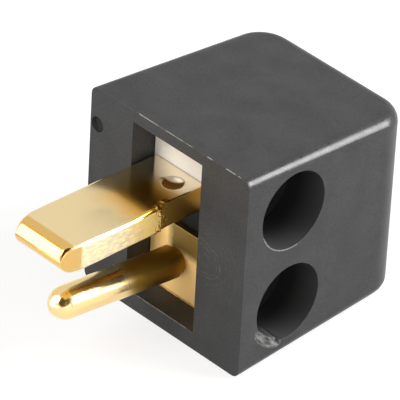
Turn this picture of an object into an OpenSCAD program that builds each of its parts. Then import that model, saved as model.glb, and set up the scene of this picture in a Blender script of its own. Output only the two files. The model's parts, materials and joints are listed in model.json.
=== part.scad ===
// Angled loudspeaker plug: a moulded block with a flat blade and a round pin at its front,
// two wire entries in one side and two clamp screws reached from the rear.
// The origin is the middle of the front face, which meets the socket. +Z is up,
// the contacts point along -Y and the wires leave along +X.

/* [Housing] */
// Width of the front face
body_w = 14.5; // [13.5:0.1:18]
// Height of the front face
body_h = 14.7; // [14.2:0.1:18]
// Depth from the front face to the rear face
body_d = 14.5; // [13.5:0.1:18]
// Mould draft of the two sides in degrees
side_draft = 1.3; // [0.5:0.1:2]
// Mould draft of the top and the bottom in degrees
top_draft = 2.4; // [0.5:0.1:2.6]
// Radius of the edges that run from front to rear
long_edge_r = 0.65; // [0.3:0.05:1]
// Radius of the upright rear edges
rear_corner_r = 2.4; // [1.2:0.1:3]
// Radius of the top and bottom rear edges
rear_edge_r = 0.9; // [0.4:0.1:1.1]
// Diameter of the ejector mark near the left edge
mark_d = 1.1; // [0.6:0.1:1.4]
// Depth of the ejector mark
mark_depth = 0.25; // [0.1:0.05:0.5]
// Distance of the ejector mark's middle from the left edge
mark_inset = 0.65; // [0.6:0.05:2]
// Drop of the ejector mark's middle below the top edge
mark_drop = 2.7; // [1.5:0.1:8]

/* [Terminal pocket] */
// Width of the front window and of the pocket behind it
pocket_w = 6.35; // [5.6:0.05:7]
// Height of the front window
pocket_h = 12.6; // [12:0.1:13]
// Sideways place of the window's middle
pocket_x = -0.2; // [-0.5:0.05:0.2]
// Height of the window's middle above that of the front face
pocket_z = 0.2; // [-0.2:0.05:0.3]
// Setback of the web between the two cages
web_setback = 2.4; // [2:0.1:4]

/* [Wire entries] */
// Diameter of the bore that takes the insulated wire
wire_bore_d = 5.45; // [4:0.05:5.8]
// Diameter of the hole that takes the bare conductor
conductor_d = 2.6; // [1.6:0.1:3]
// Wall left between the wire bore and the pocket
wire_floor_t = 0.85; // [0.5:0.05:1.5]
// Distance between the two wires, and between the two screws
terminal_pitch = 6.9; // [6.6:0.05:7.3]

/* [Clamp cages] */
// Setback of the cages behind the front face
cage_setback = 1.95; // [1.2:0.05:2.4]
// Height of one cage
cage_h = 5.2; // [4.8:0.1:5.4]
// Thickness of the front plate that carries the contact
cage_front_t = 0.8; // [0.6:0.05:1.2]
// Thickness of the upper and lower walls
cage_wall_t = 0.7; // [0.4:0.05:1]
// Thickness of the threaded rear wall
cage_rear_t = 2; // [1.5:0.1:2.6]

/* [Contacts] */
// Sideways place of both contacts from the window's middle
contact_x = -0.7; // [-0.7:0.05:0.7]

/* [Blade contact] */
// Width of the blade
blade_w = 4.8; // [4:0.1:5]
// Thickness of the blade
blade_t = 1.9; // [1.4:0.1:2.2]
// Reach of the blade from the front face
blade_len = 9.9; // [8:0.1:12]
// Drop of the blade's middle below that of the upper cage
blade_drop = 1.35; // [0:0.05:1.5]
// Radius of the two upper edges, rolled over by the shear
edge_roll_r = 0.25; // [0.1:0.05:0.5]
// Length of the lead-in tapers at the blade's tip
lead_len = 1.5; // [0.5:0.1:3]
// Depth of the lead-in taper on each side
lead_depth = 0.3; // [0.1:0.05:0.8]
// Reach of the narrower root from the front face
neck_len = 1.8; // [0.5:0.1:3]
// Step on each side from the blade down to its root
neck_step = 0.18; // [0.1:0.02:0.4]
// Diameter of the staking mark on the root
stake_d = 1.45; // [0.6:0.05:1.6]
// Depth of the staking mark
stake_depth = 0.6; // [0.1:0.05:0.8]
// Sideways place of the staking mark from the blade's middle
stake_x = 0.9; // [-1:0.05:1]
// Setback of the staking mark behind the front face
stake_setback = 0.45; // [-0.8:0.05:0.8]
// Width of the tenon that is riveted into the cage
tenon_w = 3; // [2:0.1:3.6]
// Thickness of the tenon
tenon_t = 1.2; // [0.8:0.1:1.3]

/* [Pin contact] */
// Diameter of the pin
pin_d = 2.2; // [1.8:0.05:2.6]
// Reach of the pin from the front face
pin_len = 7.55; // [7:0.05:12]
// Sideways lean of the pin to the left in degrees, 0 when it is true
pin_yaw = 7.5; // [0:0.5:8]
// Upward lean of the pin in degrees, 0 when it is true
pin_lean = -1.3; // [-3:0.1:5]
// Rise of the pin's root above the lower cage's middle
pin_rise = 0; // [-0.6:0.05:0.8]
// Length of the relief turned at the pin's root
pin_relief_len = 0.35; // [0.3:0.05:0.6]
// Depth of the relief
pin_relief_depth = 0.2; // [0.16:0.02:0.3]
// Length of the bullet-shaped end
pin_nose_len = 1.2; // [1:0.1:3]
// Diameter of the flat at the very tip
pin_tip_d = 0.5; // [0.1:0.05:0.8]
// Diameter of the stem that is riveted into the cage
pin_stem_d = 1.5; // [1:0.05:1.7]

/* [Clamp screws] */
// Diameter of the screw thread
screw_d = 2.5; // [2:0.1:3]
// Length of the screw under its head
screw_len = 6; // [5.4:0.1:6.6]
// Diameter of the screw head
head_d = 4; // [3.6:0.1:4.4]
// Height of the screw head
head_h = 1.5; // [1.2:0.1:1.8]
// Width of the driver slot
slot_w = 0.6; // [0.4:0.05:0.8]
// Depth of the driver slot
slot_depth = 0.7; // [0.4:0.05:0.9]
// Turn of the driver slot from level in degrees, up on one screw and down on the other
slot_turn = 24; // [0:1:45]
// Travel of a screw from open to tight
clamp_travel = 2.2; // [1:0.1:2.3]

/* [Clearances] */
// Clearance of a cage in its pocket
seat_clear = 0.05; // [0.02:0.01:0.15]
// Clearance of a rivet tenon or stem in its plate
rivet_clear = 0.02; // [0.01:0.01:0.05]
// Clearance of a screw in the cage's thread, on the radius
thread_clear = 0.05; // [0.02:0.01:0.08]
// Clearance of a screw in the housing, on the radius
screw_clear = 0.2; // [0.1:0.05:0.3]
// Gap left under the head of a tight screw
stop_gap = 0.05; // [0.02:0.01:0.2]

/* [Hidden] */

// Which of the two terminals a piece belongs to
upper = 1;
lower = -1;

// Overrun of a cut past the face that it opens
cut = 1;
// Straight rim at the front face before the draft begins
front_rim = 0.2;
// Point on a screw and its chamfer
screw_point = 0.3;

// Half sizes of the rear face
rear_half_w = body_w / 2 - body_d * tan(side_draft);
rear_half_h = body_h / 2 - body_d * tan(top_draft);

// Cages: outside width, and the depths of their walls behind the front face
cage_w = pocket_w - 2 * seat_clear;
plate_back = cage_setback + cage_front_t;
wire_y = plate_back + conductor_d / 2;
thread_front = plate_back + conductor_d;
cage_back = thread_front + cage_rear_t;
function cage_z(level) = pocket_z + level * (pocket_h / 2 - seat_clear - cage_h / 2);
function terminal_z(level) = pocket_z + level * terminal_pitch / 2;

// Wire bores start at this distance from the middle of the housing
wire_floor_x = pocket_x + pocket_w / 2 + wire_floor_t;

// Screws: the shoulder that stops the head, a stop gap beyond the travel
shoulder_y = thread_front + screw_len - clamp_travel - stop_gap;

// Contacts
contact_mid_x = pocket_x + contact_x;
blade_z = cage_z(upper) - blade_drop;
pin_z = cage_z(lower) + pin_rise;

// Drafted block with sharp front rim, rounded long edges and a softer rear
module body_form() {
    hull() {
        for (side = [-1, 1], level = [lower, upper]) {
            translate([side * (body_w / 2 - long_edge_r), 0, level * (body_h / 2 - long_edge_r)])
                rotate([-90, 0, 0])
                    cylinder(r = long_edge_r, h = front_rim, $fn = 32);
            translate([side * (rear_half_w - rear_corner_r), body_d - rear_corner_r,
                       level * (rear_half_h - rear_edge_r)])
                rotate_extrude($fn = 48)
                    translate([rear_corner_r - rear_edge_r, 0])
                        circle(r = rear_edge_r, $fn = 24);
        }
    }
}

// Tall recess that shows the front plates of both cages
module front_window() {
    translate([pocket_x - pocket_w / 2, -cut, pocket_z - pocket_h / 2])
        cube([pocket_w, web_setback + cut, pocket_h]);
}

// Straight pocket that a cage slides into from the front
module cage_pocket(level) {
    translate([pocket_x - pocket_w / 2, -cut, cage_z(level) - cage_h / 2 - seat_clear])
        cube([pocket_w, cage_back + cut, cage_h + 2 * seat_clear]);
}

// Stepped side bore: wide for the insulated wire, narrow for the bare conductor
module wire_entry(level) {
    translate([wire_floor_x, wire_y, terminal_z(level)])
        rotate([0, 90, 0])
            cylinder(d = wire_bore_d, h = body_w, $fn = 64);
    translate([pocket_x, wire_y, terminal_z(level)])
        rotate([0, 90, 0])
            cylinder(d = conductor_d, h = body_w / 2, $fn = 48);
}

// Stepped rear bore: a well for the screw head and a hole for its shank
module screw_well(level) {
    translate([pocket_x, shoulder_y, terminal_z(level)])
        rotate([-90, 0, 0])
            cylinder(d = head_d + 2 * screw_clear, h = body_d, $fn = 64);
    translate([pocket_x, cage_back - cut, terminal_z(level)])
        rotate([-90, 0, 0])
            cylinder(d = screw_d + 2 * screw_clear, h = body_d / 2, $fn = 48);
}

// Shallow round dent at the left edge of the front face
module ejector_mark() {
    translate([mark_inset - body_w / 2, -cut, body_h / 2 - mark_drop])
        rotate([-90, 0, 0])
            cylinder(d = mark_d, h = mark_depth + cut, $fn = 32);
}

module housing() {
    color("#4c4c4d")
        difference() {
            body_form();
            front_window();
            for (level = [lower, upper]) {
                cage_pocket(level);
                wire_entry(level);
                screw_well(level);
            }
            ejector_mark();
        }
}

// Rectangular sleeve, open at both sides, with the contact's plate in front and a thread behind
module clamp_cage(level) {
    difference() {
        translate([pocket_x - cage_w / 2, cage_setback, cage_z(level) - cage_h / 2])
            cube([cage_w, cage_back - cage_setback, cage_h]);
        translate([pocket_x - cage_w / 2 - cut, plate_back, cage_z(level) - cage_h / 2 + cage_wall_t])
            cube([cage_w + 2 * cut, conductor_d, cage_h - 2 * cage_wall_t]);
        translate([pocket_x, thread_front - cut, terminal_z(level)])
            rotate([-90, 0, 0])
                cylinder(d = screw_d + 2 * thread_clear, h = cage_rear_t + 2 * cut, $fn = 48);
    }
}

module upper_clamp_cage() {
    color("#d9d5cc")
        difference() {
            clamp_cage(upper);
            blade_tenon(rivet_clear, cut);
        }
}

module lower_clamp_cage() {
    color("#d8b25e")
        difference() {
            clamp_cage(lower);
            pin_stem(rivet_clear, cut);
        }
}

// Rectangular rivet tenon; clear widens it and over lengthens it for a cut
module blade_tenon(clear, over) {
    translate([contact_mid_x - tenon_w / 2 - clear, cage_setback - over, blade_z - tenon_t / 2 - clear])
        cube([tenon_w + 2 * clear, cage_front_t + over, tenon_t + 2 * clear]);
}

// Plan of the blade: narrow root, full width, lead-in tapers at the tip
module blade_plan() {
    half = blade_w / 2;
    root = half - neck_step;
    polygon([[-root, cage_setback], [root, cage_setback], [root, -neck_len], [half, -neck_len],
             [half, lead_len - blade_len], [half - lead_depth, -blade_len],
             [lead_depth - half, -blade_len], [-half, lead_len - blade_len],
             [-half, -neck_len], [-root, -neck_len]]);
}

// Side of the blade: parallel faces and a full-round nose
module blade_side() {
    nose_y = blade_t / 2 - blade_len;
    translate([nose_y, -blade_t / 2])
        square([cage_setback - nose_y, blade_t]);
    translate([nose_y, 0])
        circle(d = blade_t, $fn = 48);
}

// Cross-section of the blade: square lower edges and rolled upper ones
module blade_section() {
    half = blade_w / 2;
    translate([-half, -blade_t / 2])
        square([blade_w, blade_t - edge_roll_r]);
    translate([edge_roll_r - half, -blade_t / 2])
        square([blade_w - 2 * edge_roll_r, blade_t]);
    for (side = [-1, 1])
        translate([side * (half - edge_roll_r), blade_t / 2 - edge_roll_r])
            circle(r = edge_roll_r, $fn = 48);
}

// Round pit punched into the top of the root, a little narrower at its floor
module staking_mark() {
    translate([stake_x, stake_setback, blade_t / 2 - stake_depth])
        cylinder(d1 = 0.85 * stake_d, d2 = stake_d, h = stake_depth, $fn = 48);
    translate([stake_x, stake_setback, blade_t / 2])
        cylinder(d = stake_d, h = cut, $fn = 48);
}

module blade_contact() {
    color("#e3b95f") {
        translate([contact_mid_x, 0, blade_z])
            difference() {
                intersection() {
                    translate([0, 0, -blade_t])
                        linear_extrude(height = 2 * blade_t)
                            blade_plan();
                    rotate([90, 0, 90])
                        linear_extrude(height = 2 * blade_w, center = true)
                            blade_side();
                    rotate([90, 0, 0])
                        linear_extrude(height = 2 * (blade_len + cage_setback), center = true)
                            blade_section();
                }
                staking_mark();
            }
        blade_tenon(0, 0);
    }
}

// Round rivet stem; clear widens it and over lengthens it for a cut
module pin_stem(clear, over) {
    translate([contact_mid_x, cage_setback - over, pin_z])
        rotate([-90, 0, 0])
            cylinder(d = pin_stem_d + 2 * clear, h = cage_front_t + over, $fn = 48);
}

// Half section of the pin: a relieved root and a straight shank that ends in an arc tangent to it
module pin_half_section(shank) {
    rise = (pin_d - pin_tip_d) / 2;
    arc_r = (pow(pin_nose_len, 2) + pow(rise, 2)) / (2 * rise);
    translate([0, -pin_d])
        square([pin_d / 2 - pin_relief_depth, shank + pin_d]);
    translate([0, pin_relief_len])
        square([pin_d / 2, shank - pin_relief_len]);
    intersection() {
        translate([0, shank])
            square([pin_d / 2, pin_nose_len]);
        translate([pin_d / 2 - arc_r, shank])
            circle(r = arc_r, $fn = 96);
    }
}

module pin_contact() {
    reach = (pin_len + cage_setback) / (cos(pin_lean) * cos(pin_yaw));
    color("#e3b95f") {
        difference() {
            translate([contact_mid_x, cage_setback, pin_z])
                rotate([90 - pin_lean, 0, -pin_yaw])
                    rotate_extrude($fn = 64)
                        pin_half_section(reach - pin_nose_len);
            translate([contact_mid_x - pin_d, cage_setback, pin_z - pin_d])
                cube(2 * pin_d);
        }
        pin_stem(0, 0);
    }
}

// Slotted cheese-head screw, drawn open: its point is level with the front of its thread
module clamp_screw(level) {
    color("#b9b6ae")
        translate([pocket_x, thread_front, terminal_z(level)])
            rotate([-90, level * slot_turn, 0])
                difference() {
                    union() {
                        cylinder(d1 = screw_d - 2 * screw_point, d2 = screw_d, h = screw_point, $fn = 48);
                        translate([0, 0, screw_point])
                            cylinder(d = screw_d, h = screw_len - screw_point, $fn = 48);
                        translate([0, 0, screw_len])
                            cylinder(d = head_d, h = head_h, $fn = 64);
                    }
                    translate([-head_d, -slot_w / 2, screw_len + head_h - slot_depth])
                        cube([2 * head_d, slot_w, slot_depth + cut]);
                }
}

module upper_clamp_screw() {
    clamp_screw(upper);
}

module lower_clamp_screw() {
    clamp_screw(lower);
}

housing();
upper_clamp_cage();
lower_clamp_cage();
blade_contact();
pin_contact();
upper_clamp_screw();
lower_clamp_screw();
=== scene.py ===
import json
import math

import bmesh
import bpy
from mathutils import Matrix, Vector, noise


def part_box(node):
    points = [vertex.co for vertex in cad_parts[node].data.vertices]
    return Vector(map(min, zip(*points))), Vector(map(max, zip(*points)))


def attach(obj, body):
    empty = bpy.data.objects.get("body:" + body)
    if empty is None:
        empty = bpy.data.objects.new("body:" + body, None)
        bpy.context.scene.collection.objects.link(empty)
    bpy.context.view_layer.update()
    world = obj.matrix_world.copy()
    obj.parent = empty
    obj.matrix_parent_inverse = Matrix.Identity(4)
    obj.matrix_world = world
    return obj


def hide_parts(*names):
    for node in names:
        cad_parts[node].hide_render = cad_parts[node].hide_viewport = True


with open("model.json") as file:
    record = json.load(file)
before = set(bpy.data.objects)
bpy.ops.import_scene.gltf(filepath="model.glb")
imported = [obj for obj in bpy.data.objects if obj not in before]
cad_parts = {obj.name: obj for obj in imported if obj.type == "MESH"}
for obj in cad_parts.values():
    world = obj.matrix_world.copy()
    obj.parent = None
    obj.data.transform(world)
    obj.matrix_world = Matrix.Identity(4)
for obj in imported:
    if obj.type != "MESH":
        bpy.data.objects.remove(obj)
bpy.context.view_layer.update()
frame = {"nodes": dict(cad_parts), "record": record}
scene = bpy.context.scene
mounts = {mount["name"]: mount for mount in frame["record"]["mounts"]}
mm = 0.001
weld = 1e-7  # m; corners closer together than this are one
print("frame loaded with %d nodes" % len(frame["nodes"]))


def linearColour(hexValue):
    channels = [int(hexValue[i:i + 2], 16) / 255 for i in (1, 3, 5)]
    return [c / 12.92 if c <= 0.04045 else ((c + 0.055) / 1.055) ** 2.4 for c in channels] + [1.0]


# An input given as a socket, or as a node for its first output, is linked. Anything else is set as the value.
def addNode(tree, kind, inputs=None, **settings):
    node = tree.nodes.new("ShaderNode" + kind)
    for name, value in settings.items():
        setattr(node, name, value)
    for name, value in (inputs or {}).items():
        if isinstance(value, bpy.types.Node):
            value = value.outputs[0]
        if isinstance(value, bpy.types.NodeSocket):
            tree.links.new(value, node.inputs[name])
        else:
            node.inputs[name].default_value = value
    return node


def emptyTree(owner):
    owner.use_nodes = True
    owner.node_tree.nodes.clear()
    return owner.node_tree


# A new material, with places in millimetres to build its patterns on.
def startMaterial(name):
    material = bpy.data.materials.new(name)
    tree = emptyTree(material)
    coords = addNode(tree, "TexCoord")
    place = addNode(tree, "VectorMath", {0: coords.outputs["Object"], "Scale": 1 / mm}, operation="SCALE")
    return material, tree, place


def addObject(name, data):
    item = bpy.data.objects.new(name, data)
    scene.collection.objects.link(item)
    return item


camera = {
    "place": (186.17, -180.04, 175.31),  # mm
    "azimuth": 45.5,  # degrees
    "elevation": 33.71,
    "roll": 3.207,  # the photograph hangs a little to one side
    "lens": 450,  # mm
    "sensor": 36,
    "clip": (0.01, 10),  # m
}


def placeCamera(setup):
    azimuth, elevation = math.radians(setup["azimuth"]), math.radians(setup["elevation"])
    back = Vector((math.sin(azimuth) * math.cos(elevation), -math.cos(azimuth) * math.cos(elevation),
                   math.sin(elevation)))
    data = bpy.data.cameras.new("camera")
    data.lens, data.sensor_width = setup["lens"], setup["sensor"]
    data.clip_start, data.clip_end = setup["clip"]
    scene.camera = addObject("camera", data)
    turn = (-back).to_track_quat("-Z", "Y").to_matrix().to_4x4()
    scene.camera.matrix_world = (Matrix.Translation(Vector(setup["place"]) * mm) @ turn
                                 @ Matrix.Rotation(math.radians(setup["roll"]), 4, "Z"))


placeCamera(camera)
print("camera placed")


studio = {
    "floorSize": 2.0,  # m
    "floorColour": "#a8a8a8",
    "floorGlow": 0.72,  # brings the open floor to white and leaves the shadow
    "worldLevel": 0.29,
    # direction from the plug, distance and size in m, radiance, and whether it lights matt surfaces too
    "softboxes": {
        "keySoftbox": ((0.555, 0.62, 0.56), 0.18, (0.11, 0.09), 9.6, True),
        "edgeSoftbox": ((0.555, 0.60, 0.575), 0.17, (0.09, 0.075), 22.0, False),
        "rightSoftbox": ((0.85, 0.38, 0.30), 0.5, (0.28, 0.22), 3.5, False),
        "fillSoftbox": ((-0.30, -0.75, 0.60), 0.6, (0.45, 0.35), 3.9, True),
        "sideSoftbox": ((0.85, -0.45, 0.30), 0.6, (0.40, 0.40), 2.4, True),
    },
    # what the polished metal mirrors as its bands: direction, distance and size in m, colour, radiance
    "cards": {
        "whiteCard": ((-16, -26, 5.5), 0.031, (0.020, 0.031), "#ffffff", 4.6),
        "lowCard": ((-0.05, -1.0, -0.13), 0.03, (0.016, 0.006), "#ffffff", 3.2),
        "buffCard": ((-0.593, -0.50, 0.62), 0.55, (0.50, 0.24), "#e8d3ae", 1.0),
        "darkCard": ((0.57, -0.56, 0.60), 0.28, (0.40, 0.40), "#453414", 1.0),  # the dark side of the room
    },
    "cardCorners": 48,
}


# Stands a light or a card at a distance from the plug, with its lower side turned to it.
def facingPlug(direction, distance):
    direction = Vector(direction).normalized()
    return Matrix.Translation(direction * distance) @ direction.to_track_quat("Z", "Y").to_matrix().to_4x4()


# Where a camera, a mirror or glass sees the studio, and not where the studio only lights the plug
def seenDirectly(tree):
    ray = addNode(tree, "LightPath")
    seen = ray.outputs["Is Camera Ray"]
    for kind in ("Is Glossy Ray", "Is Transmission Ray"):
        seen = addNode(tree, "Math", {0: seen, 1: ray.outputs[kind]}, operation="MAXIMUM")
    return seen


# White studio paper: plain and matt, lifted to white where a camera or a mirror sees it
def studioPaper(setup):
    paper = bpy.data.materials.new("matt white studio paper")
    tree = emptyTree(paper)
    glow = addNode(tree, "Math", {0: seenDirectly(tree), 1: setup["floorGlow"]}, operation="MULTIPLY")
    matt = addNode(tree, "BsdfDiffuse", {"Color": linearColour(setup["floorColour"])})
    light = addNode(tree, "Emission", {"Strength": glow})
    addNode(tree, "OutputMaterial", {"Surface": addNode(tree, "AddShader", {0: matt, 1: light})})
    return paper


# Matt card in its own light: even all over, and seen in one mirror only, not again in the nylon
def mattCard(name, tint, radiance):
    card = bpy.data.materials.new("matt card, " + name)
    card.cycles.emission_sampling = "NONE"
    tree = emptyTree(card)
    mirrors = addNode(tree, "LightPath").outputs["Glossy Depth"]
    once = addNode(tree, "Math", {0: mirrors, 1: 1.5}, operation="LESS_THAN")
    level = addNode(tree, "Math", {0: once, 1: radiance}, operation="MULTIPLY")
    glow = addNode(tree, "Emission", {"Color": linearColour(tint), "Strength": level})
    addNode(tree, "OutputMaterial", {"Surface": glow})
    return card


def setStudio(setup):
    rest = mounts["rest_face"]
    half = setup["floorSize"] / 2
    mesh = bpy.data.meshes.new("studioFloor")
    mesh.from_pydata([(-half, -half, 0), (half, -half, 0), (half, half, 0), (-half, half, 0)], [],
                     [(0, 1, 2, 3)])
    mesh.materials.append(studioPaper(setup))
    floor = addObject("studioFloor", mesh)
    upright = (-Vector(rest["axis"])).to_track_quat("Z", "Y").to_matrix().to_4x4()
    floor.matrix_world = Matrix.Translation(Vector(rest["pos_m"])) @ upright

    scene.world = bpy.data.worlds.new("studioWorld")
    tree = emptyTree(scene.world)
    level = addNode(tree, "MapRange", {"Value": seenDirectly(tree), "To Min": setup["worldLevel"],
                                       "To Max": 1.0})
    addNode(tree, "OutputWorld", {"Surface": addNode(tree, "Background", {"Strength": level})})

    for name, (direction, distance, size, radiance, forMatt) in setup["softboxes"].items():
        lamp = bpy.data.lights.new(name, "AREA")
        lamp.shape = "RECTANGLE"
        lamp.size, lamp.size_y = size
        lamp.energy = radiance * math.pi * size[0] * size[1]
        softbox = addObject(name, lamp)
        softbox.matrix_world = facingPlug(direction, distance)
        softbox.visible_camera = False
        softbox.visible_diffuse = forMatt

    corners = setup["cardCorners"]
    rim = [2 * math.pi * i / corners for i in range(corners)]
    for name, (direction, distance, size, tint, radiance) in setup["cards"].items():
        mesh = bpy.data.meshes.new(name)
        mesh.from_pydata([(size[0] / 2 * math.cos(a), size[1] / 2 * math.sin(a), 0) for a in rim], [],
                         [range(corners)])
        mesh.materials.append(mattCard(name, tint, radiance))
        card = addObject(name, mesh)
        card.matrix_world = facingPlug(direction, distance)
        card.visible_camera = card.visible_diffuse = card.visible_shadow = False

    scene.view_settings.view_transform = "Standard"


setStudio(studio)
print("studio set")


# Copies a node's mesh and breaks its sharp edges, as moulding and plating leave them.
def softenedMesh(node, name, edgeRadius, sharpAngle=28, segments=2):
    mesh = frame["nodes"][node].data.copy()
    mesh.name = name
    mesh.materials.clear()
    for layer in [a for a in mesh.attributes if a.name == "custom_normal"]:
        mesh.attributes.remove(layer)
    work = bmesh.new()
    work.from_mesh(mesh)
    bmesh.ops.remove_doubles(work, verts=work.verts, dist=weld)
    bmesh.ops.dissolve_limit(work, angle_limit=math.radians(0.3), verts=work.verts, edges=work.edges)
    bevelLayer = work.faces.layers.float.new("bevelFace")
    sharp = [e for e in work.edges if e.is_manifold and e.calc_face_angle(0) > math.radians(sharpAngle)]
    made = bmesh.ops.bevel(work, geom=sharp, offset=edgeRadius * mm, offset_type="OFFSET",
                           segments=segments, profile=0.5, affect="EDGES", clamp_overlap=True)
    for face in made["faces"]:
        face[bevelLayer] = 1.0
    for face in work.faces:
        face.smooth = True
    bmesh.ops.remove_doubles(work, verts=work.verts, dist=weld)  # where two bevels meet
    work.to_mesh(mesh)
    work.free()
    return mesh


def addPiece(name, mesh, material, body, node=None):
    piece = addObject(name, mesh)
    mesh.materials.clear()
    mesh.materials.append(material)
    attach(piece, body)
    if node:
        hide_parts(node)
    return piece


# Broad faces keep their own flat normal, and the narrow ones at the edges turn between them.
def settleNormals(piece):
    weighted = piece.modifiers.new("settledNormals", "WEIGHTED_NORMAL")
    weighted.mode = "FACE_AREA"
    weighted.weight = 100


# Skins rows of corners, in mm, into one closed tube with flat ends.
def loftedMesh(name, rows, smooth=False):
    work = bmesh.new()
    rings = [[work.verts.new(corner * mm) for corner in row] for row in rows]
    count = len(rings[0])
    for first, second in zip(rings, rings[1:]):
        for i in range(count):
            j = (i + 1) % count
            work.faces.new((first[i], first[j], second[j], second[i]))
    work.faces.new(rings[0][::-1])
    work.faces.new(rings[-1])
    bmesh.ops.recalc_face_normals(work, faces=work.faces)
    for face in work.faces:
        face.smooth = smooth
    mesh = bpy.data.meshes.new(name)
    work.to_mesh(mesh)
    work.free()
    return mesh


# A closed thin ridge along a line of points: its foot sinks into the edge that it stands on.
# The crown lists its section between the feet, as shares of half the foot width and of the height.
def ridgeMesh(name, points, outward, along, heights, footWidth, crown=((0, 1),), sink=0.03):
    rows = []
    for point, out, run, height in zip(points, outward, along, heights):
        across = out.cross(run).normalized() * footWidth / 2
        top = [across * a + out * height * h for a, h in crown]
        rows.append([point + offset for offset in [across - out * sink] + top + [-across - out * sink]])
    return loftedMesh(name, rows)


# Height along a line, straight between the given (place, height) pairs, with a torn upper edge.
def tornHeight(place, pairs, seed):
    for (start, low), (end, high) in zip(pairs, pairs[1:]):
        if start <= place <= end:
            share = (place - start) / (end - start)
            tear = 0.85 + 0.45 * noise.noise(Vector((place * 3.1, seed, 0.5)))
            return max(0.0, (low + (high - low) * share) * tear)
    return 0.0


# A torn ridge across the plug, at one depth and height.
def straightRidge(name, pairs, y, z, outward, seed, step, footWidth):
    count = int((pairs[-1][0] - pairs[0][0]) / step) + 1
    places = [pairs[0][0] + step * i for i in range(count)]
    return ridgeMesh(name, [Vector((x, y, z)) for x in places], [outward] * count,
                     [Vector((1, 0, 0))] * count, [tornHeight(x, pairs, seed) for x in places], footWidth)


housing = {
    "edgeRadius": 0.12,  # mm
    "chipCentre": (7.3, 2.45, -5.35),  # mm, on the lower rim of the lower bore
    "chipSize": (0.9, 1.3, 0.5),
    "chipTurn": -37,  # degrees about the bore's axis
    "chipLumps": 0.16,
    "colour": "#2f2f30",
    "paleColour": "#4a4a4a",
    # pale on the broken edges, partly wear and partly a painted highlight, and on the rubbed arcs
    "wearAndHighlightColour": "#8d8c8a",
    "scuffColour": "#8a8987",
    # painted shade in the recesses that face the front
    "recessShadeColour": "#101010",
    # painted light at the mouths of the wire bores, and painted shade deep inside them
    "boreMouthLightColour": "#505050",
    "boreDeepShadeColour": "#232323",
    "boreFloor": 1.0,  # mm across the plug
    "boreShadeToLight": (4.8, 7.0),  # mm across the plug: painted shade deep in the bores, painted light towards their mouths
    "pitSize": 0.45,  # mm, in the chip
    "pitHeight": 0.08,
    "arcCentre": (3.6, 0.0, -0.1),  # mm, the rubbed arcs turn about this point
    "arcSpacing": 0.26,
    "arcWander": 1.2,
    "arcReach": 3.2,
    "cloudSize": 2.4,  # mm, the flow marks
    "grainSize": 0.14,  # mm; the spark-eroded grain is nearer 0.05, too fine to show
    "grainHeight": 0.004,
    "grainShare": 0.6,  # of the tone, beside the flow marks
    "speckSize": 0.3,  # mm, the glass that shows at the rubbed edges
    "roughness": 0.36,
    "frontRoughness": 0.55,  # the mating face comes from a coarser part of the tool
    "edgeRoughness": 0.32,  # polished by handling
    "tornRoughness": 0.6,
    "ior": 1.53,
    "specular": 0.22,  # the eroded grain traps most of the sheen
}
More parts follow.
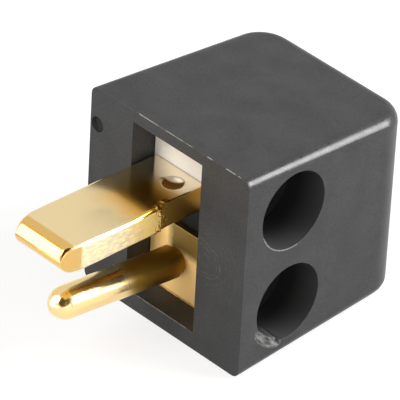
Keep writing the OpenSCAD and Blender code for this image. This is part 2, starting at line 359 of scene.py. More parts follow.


# Glass-filled nylon, moulded in a spark-eroded tool: an even charcoal with a dull sheen,
# faint flow clouds, a fine grain, paler edges that are partly rubbed and partly a painted highlight,
# painted shade in the front recesses and deep in the wire bores, and painted light at the bores' mouths
def mouldedNylon(look):
    material, tree, place = startMaterial("charcoal nylon, moulded")
    facing = addNode(tree, "SeparateXYZ", {0: addNode(tree, "TexCoord").outputs["Normal"]})
    spot = addNode(tree, "SeparateXYZ", {0: place})
    edge = addNode(tree, "Attribute", attribute_name="bevelFace").outputs["Fac"]
    clouds = addNode(tree, "TexNoise", {"Vector": place, "Scale": 1 / look["cloudSize"], "Detail": 4.0})
    grain = addNode(tree, "TexNoise", {"Vector": place, "Scale": 1 / look["grainSize"], "Detail": 3.0})
    specks = addNode(tree, "TexNoise", {"Vector": place, "Scale": 1 / look["speckSize"], "Detail": 3.0})
    pits = addNode(tree, "TexNoise", {"Vector": place, "Scale": 1 / look["pitSize"], "Detail": 5.0})
    flow = addNode(tree, "MapRange", {"Value": clouds, "From Min": 0.3, "From Max": 0.7})
    fleck = addNode(tree, "MapRange", {"Value": grain, "From Min": 0.3, "From Max": 0.7})
    tone = addNode(tree, "MixRGB", {"Fac": look["grainShare"], "Color1": flow, "Color2": fleck})
    # the broken edges, paler with wear and with a painted highlight, and the rounded ones that run from front
    # to rear
    rub = addNode(tree, "MapRange", {"Value": clouds, "From Min": 0.35, "From Max": 0.65,
                                     "To Min": 0.25, "To Max": 0.8})
    edgeWearAndHighlight = addNode(tree, "Math", {0: edge, 1: rub}, operation="MULTIPLY")
    turned = addNode(tree, "Math", {0: facing.outputs["X"], 1: facing.outputs["Z"]}, operation="MULTIPLY")
    turned = addNode(tree, "Math", {0: turned}, operation="ABSOLUTE")
    rounded = addNode(tree, "MapRange", {"Value": turned, "From Min": 0.15, "From Max": 0.35})
    # painted shade on the faces that look to the front from behind it: the ejector mark and the wall behind
    # the contacts
    front = addNode(tree, "MapRange", {"Value": facing.outputs["Y"], "From Min": -0.9, "From Max": -0.98})
    recessShade = addNode(tree, "MapRange", {"Value": spot.outputs["Y"], "From Min": 0.1, "From Max": 0.2})
    recessShade = addNode(tree, "Math", {0: recessShade, 1: front}, operation="MULTIPLY")
    # the wire bores: painted shade deep inside, painted light towards their mouths
    deepShadeX, mouthLightX = look["boreShadeToLight"]
    mouth = addNode(tree, "MapRange", {"Value": spot.outputs["X"], "From Min": deepShadeX, "From Max": mouthLightX})
    boreLightAndShade = addNode(tree, "MixRGB", {"Fac": mouth, "Color1": linearColour(look["boreDeepShadeColour"]),
                                      "Color2": linearColour(look["boreMouthLightColour"])})
    inside = addNode(tree, "Math", {0: spot.outputs["X"], 1: look["boreFloor"]}, operation="GREATER_THAN")
    mouths = []
    for bore in [m for m in mounts.values() if m["kind"] == "bore"]:
        middle = Vector(bore["pos_m"]) / mm
        fromAxis = addNode(tree, "VectorMath", {0: place, 1: middle}, operation="SUBTRACT")
        fromAxis = addNode(tree, "VectorMath", {0: fromAxis, 1: (0, 1, 1)}, operation="MULTIPLY")
        fromAxis = addNode(tree, "VectorMath", {0: fromAxis}, operation="LENGTH").outputs["Value"]
        within = addNode(tree, "Math", {0: fromAxis, 1: bore["dims"]["r_mm"] + 0.02}, operation="LESS_THAN")
        mouths.append((addNode(tree, "Math", {0: within, 1: inside}, operation="MULTIPLY"), boreLightAndShade))
    # the chip: whitened where the nylon tore, darker in its pits
    inChip = addNode(tree, "VectorMath", {0: place, 1: look["chipCentre"]}, operation="SUBTRACT")
    inChip = addNode(tree, "VectorRotate", {"Vector": inChip, "Angle": -math.radians(look["chipTurn"])},
                     rotation_type="X_AXIS")
    inChip = addNode(tree, "VectorMath", {0: inChip, 1: look["chipSize"]}, operation="DIVIDE")
    reach = addNode(tree, "VectorMath", {0: inChip}, operation="LENGTH").outputs["Value"]
    torn = addNode(tree, "MapRange", {"Value": reach, "From Min": 1.2, "From Max": 1.05})
    pale = addNode(tree, "MapRange", {"Value": pits, "From Min": 0.38, "From Max": 0.62})
    scuff = addNode(tree, "Math", {0: torn, 1: pale}, operation="MULTIPLY")
    # rubbed arcs on the front, right of the window
    fromArc = addNode(tree, "VectorMath", {0: place, 1: look["arcCentre"]}, operation="SUBTRACT")
    radius = addNode(tree, "VectorMath", {0: fromArc}, operation="LENGTH").outputs["Value"]
    wander = addNode(tree, "Math", {0: clouds, 1: look["arcWander"], 2: radius}, operation="MULTIPLY_ADD")
    rings = addNode(tree, "TexNoise", {"W": wander, "Scale": 1 / look["arcSpacing"], "Detail": 1.0},
                    noise_dimensions="1D")
    rubbed = addNode(tree, "MapRange", {"Value": rings, "From Min": 0.5, "From Max": 0.7})
    zone = addNode(tree, "MapRange", {"Value": radius, "From Min": look["arcReach"],
                                      "From Max": look["arcReach"] * 0.6})
    patch = addNode(tree, "MapRange", {"Value": pits, "From Min": 0.38, "From Max": 0.6, "To Max": 0.2})
    for mask in (zone, patch):
        rubbed = addNode(tree, "Math", {0: rubbed, 1: mask}, operation="MULTIPLY")

    colour = addNode(tree, "MixRGB", {"Fac": tone, "Color1": linearColour(look["colour"]),
                                      "Color2": linearColour(look["paleColour"])})
    wearAndHighlightPaint = linearColour(look["wearAndHighlightColour"])
    for mask, paint in [(edgeWearAndHighlight, wearAndHighlightPaint), (recessShade, linearColour(look["recessShadeColour"])), *mouths,
                        (scuff, linearColour(look["scuffColour"])), (rubbed, wearAndHighlightPaint)]:
        colour = addNode(tree, "MixRGB", {"Fac": mask, "Color1": colour, "Color2": paint})
    rough, polish = look["roughness"], look["edgeRoughness"]
    gloss = addNode(tree, "MapRange", {"Value": grain, "From Min": 0.3, "From Max": 0.7,
                                       "To Min": rough - 0.06, "To Max": rough + 0.08})
    speckled = addNode(tree, "MapRange", {"Value": specks, "From Min": 0.35, "From Max": 0.65,
                                          "To Min": polish - 0.05, "To Max": polish + 0.05})
    for mask, level in ((front, look["frontRoughness"]), (edge, polish), (rounded, speckled),
                        (torn, look["tornRoughness"])):
        gloss = addNode(tree, "MapRange", {"Value": mask, "To Min": gloss, "To Max": level})
    tearing = addNode(tree, "Math", {0: pits, 1: torn}, operation="MULTIPLY")
    bump = addNode(tree, "Bump", {"Height": grain, "Distance": look["grainHeight"] * mm})
    bump = addNode(tree, "Bump", {"Height": tearing, "Distance": look["pitHeight"] * mm, "Normal": bump})
    shader = addNode(tree, "BsdfPrincipled", {"Base Color": colour, "Roughness": gloss, "IOR": look["ior"],
                                              "Specular IOR Level": look["specular"], "Normal": bump})
    addNode(tree, "OutputMaterial", {"Surface": shader})
    return material


# A lumpy pebble that bites the broken place out of the rim.
def chipCutter(look):
    work = bmesh.new()
    bmesh.ops.create_icosphere(work, subdivisions=4, radius=1.0)
    turn = Matrix.Rotation(math.radians(look["chipTurn"]), 4, "X")
    for vert in work.verts:
        lump = 1 + look["chipLumps"] * noise.fractal(vert.co * 1.7, 1.0, 2.0, 4)
        local = Vector([c * s * lump for c, s in zip(vert.co, look["chipSize"])])
        vert.co = (Vector(look["chipCentre"]) + turn @ local) * mm
    mesh = bpy.data.meshes.new("chipCutter")
    work.to_mesh(mesh)
    work.free()
    return mesh


# Cuts one mesh out of another and gives the result as a new mesh.
def carved(mesh, cutterMesh):
    body, tool = addObject("carveBody", mesh), addObject("carveTool", cutterMesh)
    cut = body.modifiers.new("carve", "BOOLEAN")
    cut.operation, cut.solver, cut.object = "DIFFERENCE", "EXACT", tool
    bpy.context.view_layer.update()
    result = bpy.data.meshes.new_from_object(body.evaluated_get(bpy.context.evaluated_depsgraph_get()))
    result.name = mesh.name
    for temporary in (body, tool):
        bpy.data.objects.remove(temporary)
    return result


nylon = mouldedNylon(housing)
shellMesh = softenedMesh("housing", "housing_moulding", housing["edgeRadius"])
shellMesh = carved(shellMesh, chipCutter(housing))
shell = addPiece("housing_moulding", shellMesh, nylon, "plug", "housing")
settleNormals(shell)
print("housing moulded")


flash = {
    "footWidth": 0.11,  # mm
    "step": 0.06,
    # (place along the edge, height) in mm: where the tool's halves left a little nylon
    "topEdge": [(-5.0, 0), (-4.7, 0.03), (-4.4, 0), (-2.95, 0), (-2.75, 0.15), (-2.4, 0.1), (-1.0, 0.07),
                (1.0, 0.08), (2.2, 0.07), (2.9, 0.03), (3.3, 0.02), (3.45, 0.12), (3.75, 0.1),
                (3.95, 0.01), (4.3, 0.01), (4.45, 0.06), (4.65, 0.01), (5.0, 0.01), (5.15, 0.1),
                (5.5, 0.12), (5.9, 0.08), (6.05, 0.02), (6.2, 0.08), (6.5, 0.05), (6.7, 0)],
    "windowSill": [(-3.2, 0), (-2.6, 0.08), (2.2, 0.09), (2.7, 0)],
    "sillHeight": -6.1,  # mm
    "boreRim": [(196, 0), (204, 0.1), (232, 0.09), (262, 0.1), (286, 0)],  # degrees round the upper bore
    "rimSeed": 7.0,
    "sideDraft": 0.0227,  # how far the side closes in for each mm of depth
    "grainSize": 0.15,  # mm
    "colour": "#a2a19e",
    "roughness": 0.5,
}


# Torn nylon flash: too thin to hold its colour, so it reads paler than the moulding under it
def flashNylon(look):
    material, tree, place = startMaterial("charcoal nylon, torn flash")
    grain = addNode(tree, "TexNoise", {"Vector": place, "Scale": 1 / look["grainSize"], "Detail": 3.0})
    tone = addNode(tree, "MapRange", {"Value": grain, "From Min": 0.35, "From Max": 0.65})
    colour = addNode(tree, "MixRGB", {"Fac": tone, "Color1": linearColour(housing["wearAndHighlightColour"]),
                                      "Color2": linearColour(look["colour"])})
    shader = addNode(tree, "BsdfPrincipled", {"Base Color": colour, "Roughness": look["roughness"],
                                              "IOR": housing["ior"]})
    addNode(tree, "OutputMaterial", {"Surface": shader})
    return material


# The rim of the upper bore: the ridge leans inwards and follows the drafted side.
def rimRidge(name, look, inset, halfWidth):
    bore, pairs = mounts["upper_wire_bore"], look["boreRim"]
    middle, radius = Vector(bore["pos_m"]) / mm, bore["dims"]["r_mm"]
    turns = range(pairs[0][0], pairs[-1][0] + 1)
    spokes = [Vector((0, math.cos(math.radians(a)), math.sin(math.radians(a)))) for a in turns]
    points = []
    for spoke in spokes:
        x = halfWidth - (middle.y + spoke.y * radius) * look["sideDraft"] - inset
        points.append(Vector((x, middle.y, middle.z)) + spoke * (radius + inset))
    return ridgeMesh(name, points, [(Vector((1, 0, 0)) - s).normalized() for s in spokes],
                     [Vector((0, -s.z, s.y)) for s in spokes],
                     [tornHeight(a, pairs, look["rimSeed"]) for a in turns], look["footWidth"])


def addFlash(look):
    finish = flashNylon(look)
    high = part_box("housing")[1] / mm
    inset = housing["edgeRadius"] * 0.29  # the broken edge lies this far inside the sharp one
    slope = Vector((0, -1, 1)).normalized()
    for name, pairs, height in (("top_edge_flash", look["topEdge"], high.z),
                                ("window_sill_flash", look["windowSill"], look["sillHeight"])):
        ridge = straightRidge(name, pairs, inset, height - inset, slope, height, look["step"],
                              look["footWidth"])
        addPiece(name, ridge, finish, "plug")
    name = "bore_rim_flash"
    addPiece(name, rimRidge(name, look, inset, high.x), finish, "plug")


addFlash(flash)
print("moulding flash added")


blade = {
    "edgeRadius": 0.06,  # mm, the lower edges
    "roll": 0.25,  # mm, the upper edges
    "noseRoll": 0.32,
    "neckRoll": 0.08,
    "noseStart": -8.95,  # mm along the blade, where the round end begins
    "noseSweep": 86,  # degrees
    "noseSteps": 14,
    "leadStart": -8.4,  # mm, where its sides begin to close in
    "leadSlope": 0.2,
    "neckStart": -1.8,  # mm, where the narrower root begins
    "neckStep": 0.18,
    "rivetFrom": 1.95,  # mm
    "rivetSize": (3.0, 1.2),
    "rivetRoll": 0.05,
    "columns": 80,
    "sideRows": 22,
    "tear": 0.07,  # mm, how ragged the shoulder is
    "tearSpan": (-2.6, -0.9),  # mm along the blade
    "hollow": (-8.5, -4.6, -2.3, 0.13),  # mm along the top: from, deepest, to, and how deep
    "hollowRight": (-3.2, -0.8),  # mm across it: from, full
    "pitCentre": (0.0, 0.45, 3.45),  # mm, the staking mark
    "pitRadius": 0.73,
    "pitDepth": 0.2,
    "lipHeight": 0.05,  # the metal that the punch pushed up behind the mark
    "lipWidth": 0.26,  # share of the mark's radius
    "lipSide": (-0.506, 0.863, 0.0),
    "lipFrom": (0.3, 0.42),  # mm behind the mark's middle, where its painted shade gives way to the painted highlight on the lip
    "colour": "#ffe6b0",
    # painted shade: a deeper gold on the nose and on the lead-in facets
    "noseShadeColour": "#f3c877",
    "facetShadeColour": "#e2b870",
    # painted highlight: the sheared grain of the cut sides is mottled paler and whiter
    "sideHighlightColour": "#d2c6ae",
    # painted reflection of the dark housing on the top, and painted light on the side, towards the window
    "deepReflectionColour": "#efb143",
    "shoulderLightColour": "#ffe08a",
    # painted shade: the faces turned down take a darker gold
    "undersideShadeColour": "#e8c47c",
    # painted light: the root inside the window is painted paler
    "rootLightColour": "#fff1d6",
    # painted shade: the cut side of the neck takes a darker gold
    "neckShadeColour": "#dfae52",
    # painted shade in the staking mark, and a painted highlight on its lip
    "pitShadeColour": "#7c4f0a",
    "lipHighlightColour": "#fff3dc",
    "roughness": 0.2,
    "noseRoughness": 0.14,
    "sideRoughness": 0.68,
    "rootRoughness": 0.11,
    "neckRoughness": 0.4,
    "pitRoughness": 0.55,
    "lipRoughness": 0.55,
    # where the painted reflection and the painted light on the side lie
    "paintedShadeSpan": (-4.9, -3.0, -0.9, 0.2),  # mm along the blade: from, full, still full, to
    "shadeLeft": (-2.7, -1.0),  # mm across it: from, full
    "shadeWander": 1.4,  # mm
    "streakSize": 0.17,  # mm between shear lines
    "streakHeight": 0.03,
    "waveSize": 1.6,  # mm
    "waveHeight": 0.004,
}


def eased(value):
    value = min(1.0, max(0.0, value))
    return value * value * (3 - 2 * value)


# One ring across the blade: up the right side, over the top to the left, and down again.
def bladeRing(look, left, right, bottom, top, roll):
    edge, roll = min(look["edgeRadius"], (top - bottom) / 4), min(roll, (top - bottom) / 2)
    ring = []

    def arc(x, z, radius, start, stop, steps):
        for i in range(steps + 1):
            a = math.radians(start + (stop - start) * i / steps)
            ring.append((x + radius * math.cos(a), z + radius * math.sin(a)))

    arc(right - edge, bottom + edge, edge, -90, 0, 2)
    rise = top - roll - bottom - edge
    ring += [(right, bottom + edge + rise * i / look["sideRows"]) for i in range(1, look["sideRows"])]
    arc(right - roll, top - roll, roll, 0, 90, 6)
    width = right - left - 2 * roll
    ring += [(right - roll - width * i / look["columns"], top) for i in range(1, look["columns"])]
    arc(left + roll, top - roll, roll, 90, 180, 6)
    ring += [(left, top - roll - rise * i / 4) for i in range(1, 4)]
    arc(left + edge, bottom + edge, edge, 180, 270, 2)
    return ring


# How far the staking mark lowers or lifts the top at a place
def pitRelief(look, x, y):
    across = Vector((x, y, 0)) - Vector(look["pitCentre"]) * Vector((1, 1, 0))
    reach, rear = across.length / look["pitRadius"], across.dot(Vector(look["lipSide"])) / look["pitRadius"]
    hollow = -look["pitDepth"] * (1 - reach ** 2) if reach < 1 else 0.0
    lip = look["lipHeight"] * math.exp(-((reach - 1.0) / look["lipWidth"]) ** 2)
    return hollow + lip * eased((rear - 0.05) / 0.6)  # no lip on the front side


# The strip lies a little hollow in front of the shoulder, more so on the right.
def topHollow(look, x, y):
    (start, deepest, stop, depth), (left, right) = look["hollow"], look["hollowRight"]
    along = eased((y - start) / (deepest - start)) if y < deepest else eased((stop - y) / (stop - deepest))
    return depth * along * eased((x - left) / (right - left))


# How far the shear tore a corner of the right shoulder out of its place, in broad and finer lumps
def shoulderTear(look, y, z):
    start, stop = look["tearSpan"]
    torn = look["tear"] * eased((y - start) / 0.6) * eased((stop - y) / 0.7)
    lumps = 0.8 * noise.noise(Vector((1.0, y * 3, z * 3))) + 0.4 * noise.noise(Vector((7.0, y * 8, z * 8)))
    return Vector((torn * lumps, torn * 1.6 * noise.noise(Vector((3.0, 0.5, z * 5))),
                   torn * 0.5 * noise.noise(Vector((5.0, y * 7, z * 3)))))


def bladeMesh(look):
    low, high = [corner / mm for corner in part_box("blade_contact")]
    centre, middle, half = (low.x + high.x) / 2, (low.z + high.z) / 2, (high.z - low.z) / 2
    neck, step, steps = look["neckStart"], look["neckStep"], look["noseSteps"]
    stations = []  # place along the blade, and its ring
    for i in range(steps + 1):
        turn = math.radians(look["noseSweep"] - look["noseSweep"] * i / steps)
        y, thick = look["noseStart"] - half * math.sin(turn), half * math.cos(turn)
        inset = look["leadSlope"] * (look["leadStart"] - y)
        stations.append((y, bladeRing(look, low.x + inset, high.x - inset, middle - thick, middle + thick,
                                      look["noseRoll"])))
    # the rings stand closer where the lead-in begins, at the shoulder and round the staking mark
    plain = [-8.7, -8.5, -8.43, -8.37, -8.3] + [-8.1 + 0.25 * i for i in range(22)]
    plain += [-2.6 + 0.05 * i for i in range(16)] + [neck - 0.01]
    for y in plain:
        inset = max(0.0, look["leadSlope"] * (look["leadStart"] - y))
        stations.append((y, bladeRing(look, low.x + inset, high.x - inset, low.z, high.z, look["roll"])))
    root = [neck + 0.01] + [neck + 0.06 * i for i in range(1, 52)] + [1.45, 1.7, look["rivetFrom"]]
    for y in root:
        stations.append((y, bladeRing(look, low.x + step, high.x - step, low.z, high.z, look["neckRoll"])))
    wide, tall = [size / 2 for size in look["rivetSize"]]
    for y in (look["rivetFrom"], high.y):
        stations.append((y, bladeRing(look, centre - wide, centre + wide, middle - tall, middle + tall,
                                      look["rivetRoll"])))

    rows = []
    for y, ring in stations:
        row = []
        for x, z in ring:
            spot = Vector((x, y, z))
            if x > high.x - 0.5:
                spot += shoulderTear(look, y, z)
            if z > high.z - look["roll"] and y < look["rivetFrom"] - 0.2:
                spot.z += pitRelief(look, x, y) - topHollow(look, x, y)
            row.append(spot)
        rows.append(row)
    return loftedMesh("blade", rows, smooth=True)


# Gold flash over brass, sheared from strip: rolled faces that mirror softly, cut sides with lines
# along the shear that break the gloss up, and a painted reflection of the dark housing, a deeper darker gold,
# where the blade leaves the window
def gildedBlade(look):
    material, tree, place = startMaterial("gold flash on sheared brass")
    facing = addNode(tree, "SeparateXYZ", {0: addNode(tree, "TexCoord").outputs["Normal"]})
    across = addNode(tree, "Math", {0: facing.outputs["X"]}, operation="ABSOLUTE")
    spot = addNode(tree, "SeparateXYZ", {0: place})
    along = spot.outputs["Y"]
    waves = addNode(tree, "TexNoise", {"Vector": place, "Scale": 1 / look["waveSize"], "Detail": 2.0})
    drawn = addNode(tree, "VectorMath", {0: place, 1: (1.0, 0.35, 1.0)}, operation="MULTIPLY")
    streaks = addNode(tree, "TexNoise", {"Vector": drawn, "Scale": 1 / look["streakSize"], "Detail": 3.0})
    # the cut sides, in front of the shoulder and at the root
    forward = addNode(tree, "MapRange", {"Value": along, "From Min": look["neckStart"] + 0.05,
                                         "From Max": look["neckStart"] - 0.05})
    flank = addNode(tree, "MapRange", {"Value": across, "From Min": 0.984, "From Max": 0.994})
    # painted shade: the cut side of the neck takes a darker gold
    neckSide = addNode(tree, "MapRange", {"Value": forward, "To Min": flank, "To Max": 0.0})
    side = addNode(tree, "Math", {0: flank, 1: forward}, operation="MULTIPLY")
    cut = addNode(tree, "Math", {0: streaks, 1: side}, operation="MULTIPLY")
    # the paler mottle on the cut sides is a painted highlight
    mottle = addNode(tree, "MapRange", {"Value": streaks, "From Min": 0.3, "From Max": 0.6})
    mottle = addNode(tree, "Math", {0: mottle, 1: side}, operation="MULTIPLY")
    # painted shade: the faces turned down take a darker gold
    shadedUnderside = addNode(tree, "MapRange", {"Value": facing.outputs["Z"], "From Min": -0.8, "From Max": -0.95})
    # the painted reflection wanders a little with the waves of the strip
    start, full, still, stop = look["paintedShadeSpan"]
    drift = look["shadeWander"]
    wander = addNode(tree, "Math", {0: waves, 1: drift, 2: along}, operation="MULTIPLY_ADD")
    deep = addNode(tree, "MapRange", {"Value": wander, "From Min": start + drift / 2,
                                      "From Max": full + drift / 2})
    fade = addNode(tree, "MapRange", {"Value": along, "From Min": stop, "From Max": still})
    left = addNode(tree, "MapRange", {"Value": spot.outputs["X"], "From Min": look["shadeLeft"][0],
                                      "From Max": look["shadeLeft"][1]})
    onTop = addNode(tree, "MapRange", {"Value": side, "To Min": 1.0, "To Max": 0.85})
    for mask in (fade, left, onTop):
        deep = addNode(tree, "Math", {0: deep, 1: mask}, operation="MULTIPLY")
    deeper = addNode(tree, "MixRGB", {"Fac": side, "Color1": linearColour(look["deepReflectionColour"]),
                                      "Color2": linearColour(look["shoulderLightColour"])})
    # painted light: the root inside the window is painted paler
    root = addNode(tree, "MapRange", {"Value": along, "From Min": stop - 0.4, "From Max": stop + 0.3})
    # painted shade: the lead-in facets and the nose are painted a deeper gold than the top
    facet = addNode(tree, "MapRange", {"Value": across, "From Min": 0.9, "From Max": 0.97})
    tip = addNode(tree, "MapRange", {"Value": along, "From Min": look["leadStart"] + 0.2,
                                     "From Max": look["leadStart"]})
    facet = addNode(tree, "Math", {0: facet, 1: tip}, operation="MULTIPLY")
    nose = addNode(tree, "MapRange", {"Value": along, "From Min": look["noseStart"] + 0.1,
                                      "From Max": look["noseStart"] - 0.05})
    # painted shade inside the staking mark, and a painted highlight on the lip behind it
    fromPit = addNode(tree, "VectorMath", {0: place, 1: look["pitCentre"]}, operation="SUBTRACT")
    rear = addNode(tree, "VectorMath", {0: fromPit, 1: look["lipSide"]}, operation="DOT_PRODUCT")
    fromPit = addNode(tree, "VectorMath", {0: fromPit, 1: (1, 1, 0)}, operation="MULTIPLY")
    reach = addNode(tree, "VectorMath", {0: fromPit}, operation="LENGTH").outputs["Value"]
    topZ, radius, (lipStart, lipFull) = look["pitCentre"][2], look["pitRadius"], look["lipFrom"]
    high = addNode(tree, "MapRange", {"Value": spot.outputs["Z"], "From Min": topZ - 0.4,
                                      "From Max": topZ - 0.35})
    inPit = addNode(tree, "MapRange", {"Value": reach, "From Min": radius + 0.02, "From Max": radius - 0.06})
    near = addNode(tree, "MapRange", {"Value": rear.outputs["Value"], "From Min": lipFull,
                                      "From Max": lipStart})
    lip = addNode(tree, "MapRange", {"Value": reach, "From Min": radius + 0.2, "From Max": radius - 0.05})
    far = addNode(tree, "MapRange", {"Value": rear.outputs["Value"], "From Min": lipStart,
                                     "From Max": lipFull})
    for mask in (near, high):
        inPit = addNode(tree, "Math", {0: inPit, 1: mask}, operation="MULTIPLY")
    for mask in (far, high):
        lip = addNode(tree, "Math", {0: lip, 1: mask}, operation="MULTIPLY")

    colour = linearColour(look["colour"])
    for mask, paint in ((nose, "noseShadeColour"), (facet, "facetShadeColour"), (mottle, "sideHighlightColour"), (deep, deeper),
                        (shadedUnderside, "undersideShadeColour"), (root, "rootLightColour"), (neckSide, "neckShadeColour"),
                        (inPit, "pitShadeColour"), (lip, "lipHighlightColour")):
        paint = linearColour(look[paint]) if isinstance(paint, str) else paint
        colour = addNode(tree, "MixRGB", {"Fac": mask, "Color1": colour, "Color2": paint})
    gloss = look["roughness"]
    for mask, level in ((nose, "noseRoughness"), (side, "sideRoughness"), (root, "rootRoughness"),
                        (neckSide, "neckRoughness"), (inPit, "pitRoughness"), (lip, "lipRoughness")):
        gloss = addNode(tree, "MapRange", {"Value": mask, "To Min": gloss, "To Max": look[level]})
    rolled = addNode(tree, "Bump", {"Height": waves, "Distance": look["waveHeight"] * mm})
    sheared = addNode(tree, "Bump", {"Height": cut, "Distance": look["streakHeight"] * mm, "Normal": rolled})
    shader = addNode(tree, "BsdfPrincipled", {"Base Color": colour, "Metallic": 1.0, "Roughness": gloss,
                                              "Normal": sheared})
    addNode(tree, "OutputMaterial", {"Surface": shader})
    return material


addPiece("blade", bladeMesh(blade), gildedBlade(blade), "plug", "blade_contact")
print("blade gilded")


pin = {
    "colour": "#ffe0a0",
    "roughness": 0.17,
    "ringSize": 0.11,  # mm between turning marks
    "ringHeight": 0.0015,
    # painted shade at the root: brown, and duller
    "paintedShadeSpan": (-3.1, -1.6),  # mm along the pin: from, full
    "shadeColour": "#a78234",
    "shadeRoughness": 0.4,
}


# Gold flash over brass, turned on an automatic: bright, with fine rings round it, and painted brown shade,
# duller, at the root
def gildedPin(look):
    material, tree, place = startMaterial("gold flash on turned brass")
    drawn = addNode(tree, "VectorMath", {0: place, 1: (0.05, 1.0, 0.05)}, operation="MULTIPLY")
    rings = addNode(tree, "TexNoise", {"Vector": drawn, "Scale": 1 / look["ringSize"], "Detail": 2.0})
    bump = addNode(tree, "Bump", {"Height": rings, "Distance": look["ringHeight"] * mm})
    along = addNode(tree, "SeparateXYZ", {0: place}).outputs["Y"]
    rootShade = addNode(tree, "MapRange", {"Value": along, "From Min": look["paintedShadeSpan"][0],
                                      "From Max": look["paintedShadeSpan"][1]}, interpolation_type="SMOOTHERSTEP")
    colour = addNode(tree, "MixRGB", {"Fac": rootShade, "Color1": linearColour(look["colour"]),
                                      "Color2": linearColour(look["shadeColour"])})
    rough = look["roughness"]
    gloss = addNode(tree, "MapRange", {"Value": rings, "From Min": 0.3, "From Max": 0.7,
                                       "To Min": rough - 0.03, "To Max": rough + 0.05})
    gloss = addNode(tree, "MapRange", {"Value": rootShade, "To Min": gloss, "To Max": look["shadeRoughness"]})
    shader = addNode(tree, "BsdfPrincipled", {"Base Color": colour, "Metallic": 1.0, "Roughness": gloss,
                                              "Normal": bump})
    addNode(tree, "OutputMaterial", {"Surface": shader})
    return material


pinNode = frame["nodes"]["pin_contact"]
pinNode.data.materials.clear()
pinNode.data.materials.append(gildedPin(pin))
print("pin gilded")


cages = {
    "edgeRadius": 0.08,  # mm
    "tinColour": "#fbf7ef",
    "tinRoughness": 0.7,
    "tinMetal": 0.2,  # the chalky tin scatters more than it mirrors
    "bladeShadeColour": "#3b3020",
    "bladeShadeTop": (1.75, 1.35),  # mm up the plate: plain above, painted shade below, where the blade shades it
    "tinGrain": 0.12,  # mm
    "goldColour": "#ffe09e",
    "goldRoughness": 0.75,
    "goldGrain": 0.3,  # mm
    "grainHeight": 0.004,
    # painted shade: a brown, glossier corner of the gilt plate, above and to the right
    "shadeColour": "#937a44",
    "shadeRoughness": 0.5,
    "shadeCorner": (-1.5, -2.7),  # mm: darker above and to the right of this point
    "shadeWaveSize": 1.4,  # mm, the waves of its edge
    "shadeWander": 0.8,
    # (place across, height) in mm, along the foot of the gilt plate
    "burr": [(-3.1, 0), (-2.9, 0.1), (-2.2, 0.07), (-1.6, 0.12), (-0.4, 0.08), (0.3, 0.13), (0.7, 0.06),
             (1.6, 0.1), (2.7, 0.07), (2.9, 0)],
    "burrPlace": (1.95, -6.1),  # mm
    "burrLean": (0, -0.7, 0.7),
    "burrSeed": 4.0,
    "burrStep": 0.06,
    "burrWidth": 0.16,
}


# Matt tin over pressed brass: chalky, so it scatters light and hardly mirrors, with painted brown shade
# below, where the blade shades it
def mattTin(look):
    material, tree, place = startMaterial("matt tin on pressed brass")
    grain = addNode(tree, "TexNoise", {"Vector": place, "Scale": 1 / look["tinGrain"], "Detail": 4.0})
    bump = addNode(tree, "Bump", {"Height": grain, "Distance": look["grainHeight"] * mm})
    rough = look["tinRoughness"]
    gloss = addNode(tree, "MapRange", {"Value": grain, "From Min": 0.3, "From Max": 0.7,
                                       "To Min": rough - 0.07, "To Max": rough + 0.07})
    height = addNode(tree, "SeparateXYZ", {0: place}).outputs["Z"]
    bladeShade = addNode(tree, "MapRange", {"Value": height, "From Min": look["bladeShadeTop"][0],
                                       "From Max": look["bladeShadeTop"][1]})
    colour = addNode(tree, "MixRGB", {"Fac": bladeShade, "Color1": linearColour(look["tinColour"]),
                                      "Color2": linearColour(look["bladeShadeColour"])})
    shader = addNode(tree, "BsdfPrincipled", {"Base Color": colour, "Metallic": look["tinMetal"],
                                              "Roughness": gloss, "Normal": bump})
    addNode(tree, "OutputMaterial", {"Surface": shader})
    return material


# Gold flash over pressed brass: a soft shine, with painted brown shade in the corner above and to the right
def giltBrass(look):
    material, tree, place = startMaterial("gold flash on pressed brass")
    grain = addNode(tree, "TexNoise", {"Vector": place, "Scale": 1 / look["goldGrain"], "Detail": 2.0})
    patches = addNode(tree, "TexNoise", {"Vector": place, "Scale": 1 / look["shadeWaveSize"], "Detail": 3.0})
    spot = addNode(tree, "SeparateXYZ", {0: place})
    past = []
    for axis, edge in zip(("X", "Z"), look["shadeCorner"]):
        wander = addNode(tree, "Math", {0: patches, 1: look["shadeWander"], 2: spot.outputs[axis]},
                         operation="MULTIPLY_ADD")
        past.append(addNode(tree, "MapRange", {"Value": wander, "From Min": edge + 0.2,
                                               "From Max": edge + 0.7}))
    cornerShade = addNode(tree, "Math", {0: past[0], 1: past[1]}, operation="MULTIPLY")
    colour = addNode(tree, "MixRGB", {"Fac": cornerShade, "Color1": linearColour(look["goldColour"]),
                                      "Color2": linearColour(look["shadeColour"])})
    gloss = addNode(tree, "MapRange", {"Value": cornerShade, "To Min": look["goldRoughness"],
                                       "To Max": look["shadeRoughness"]})
    bump = addNode(tree, "Bump", {"Height": grain, "Distance": look["grainHeight"] * mm})
    shader = addNode(tree, "BsdfPrincipled", {"Base Color": colour, "Metallic": 1.0, "Roughness": gloss,
                                              "Normal": bump})
    addNode(tree, "OutputMaterial", {"Surface": shader})
    return material


gilt = giltBrass(cages)
for level, finish, slot in (("upper", mattTin(cages), "tinned_cage"), ("lower", gilt, "gilt_cage")):
    cageMesh = softenedMesh(level + "_clamp_cage", level + "_cage", cages["edgeRadius"])
    settleNormals(addPiece(level + "_cage", cageMesh, finish, "plug", level + "_clamp_cage"))
burrMesh = straightRidge("lower_cage_burr", cages["burr"], *cages["burrPlace"], Vector(cages["burrLean"]),
                         cages["burrSeed"], cages["burrStep"], cages["burrWidth"])
addPiece("lower_cage_burr", burrMesh, gilt, "plug")
print("cages plated")


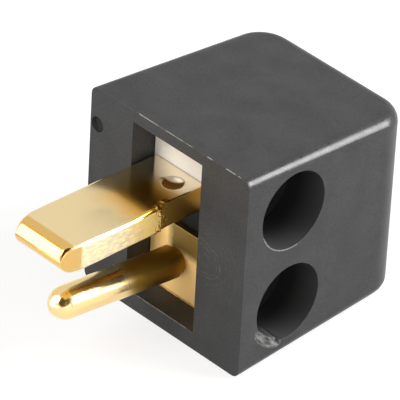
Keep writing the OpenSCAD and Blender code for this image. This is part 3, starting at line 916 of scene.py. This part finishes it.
screws = {
    "pitch": 0.45,  # mm
    "crestRadius": 1.25,
    "rootRadius": 0.98,
    "crestFlat": 0.14,  # share of the thread's foot
    "footShare": 0.94,  # share of the pitch
    "headHeight": 1.5,
    "threadFrom": 0.25,  # mm from the point
    "threadFade": 0.3,  # mm, the run-out at both ends
    "stepsPerTurn": 36,
    "edgeRadius": 0.12,
    "colour": "#c9c8c2",
    "roughness": 0.32,
    "grainSize": 0.2,  # mm
    "grainHeight": 0.003,
}


# Zinc plate over turned steel: a cool grey with a soft, slightly uneven shine
def platedSteel(look):
    material, tree, place = startMaterial("bright zinc on turned steel")
    grain = addNode(tree, "TexNoise", {"Vector": place, "Scale": 1 / look["grainSize"], "Detail": 4.0})
    bump = addNode(tree, "Bump", {"Height": grain, "Distance": look["grainHeight"] * mm})
    rough = look["roughness"]
    gloss = addNode(tree, "MapRange", {"Value": grain, "From Min": 0.3, "From Max": 0.7,
                                       "To Min": rough - 0.07, "To Max": rough + 0.07})
    shader = addNode(tree, "BsdfPrincipled", {"Base Color": linearColour(look["colour"]), "Metallic": 1.0,
                                              "Roughness": gloss, "Normal": bump})
    addNode(tree, "OutputMaterial", {"Surface": shader})
    return material


# The head and a thinned shank from the solid, and a rolled thread wound round the shank.
def addScrew(level, look, finish):
    node = level + "_clamp_screw"
    low, high = [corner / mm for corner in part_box(node)]
    axis = Vector(((low.x + high.x) / 2, 0, (low.z + high.z) / 2))
    underHead, rootRadius = high.y - look["headHeight"], look["rootRadius"]
    mesh = softenedMesh(node, level + "_screw_head", look["edgeRadius"])
    for vert in mesh.vertices:
        spot = vert.co / mm
        spoke = Vector((spot.x - axis.x, 0, spot.z - axis.z))
        if spot.y < underHead - 0.01 and spoke.length > rootRadius:
            vert.co = (Vector((axis.x, spot.y, axis.z)) + spoke.normalized() * rootRadius) * mm
    settleNormals(addPiece(level + "_screw_head", mesh, finish, level + "_screw", node))

    start, stop, fade = low.y + look["threadFrom"], underHead - look["pitch"] / 2, look["threadFade"]
    steps = look["stepsPerTurn"]
    turns = range(int((stop - start) / look["pitch"] * steps))
    angles = [2 * math.pi * i / steps for i in turns]
    spokes = [Vector((math.cos(a), 0, math.sin(a))) for a in angles]
    places = [start + look["pitch"] * i / steps for i in turns]
    depth = look["crestRadius"] - rootRadius
    heights = [depth * eased((y - start) / fade) * eased((stop - y) / fade) for y in places]
    thread = ridgeMesh(level + "_screw_thread",
                       [Vector((axis.x, y, axis.z)) + s * rootRadius for y, s in zip(places, spokes)],
                       spokes, [Vector((-s.z, 0, s.x)) for s in spokes], heights,
                       look["pitch"] * look["footShare"], ((look["crestFlat"], 1), (-look["crestFlat"], 1)))
    addPiece(level + "_screw_thread", thread, finish, level + "_screw")


zinc = platedSteel(screws)
for level in ("upper", "lower"):
    addScrew(level, screws, zinc)
print("screws threaded")
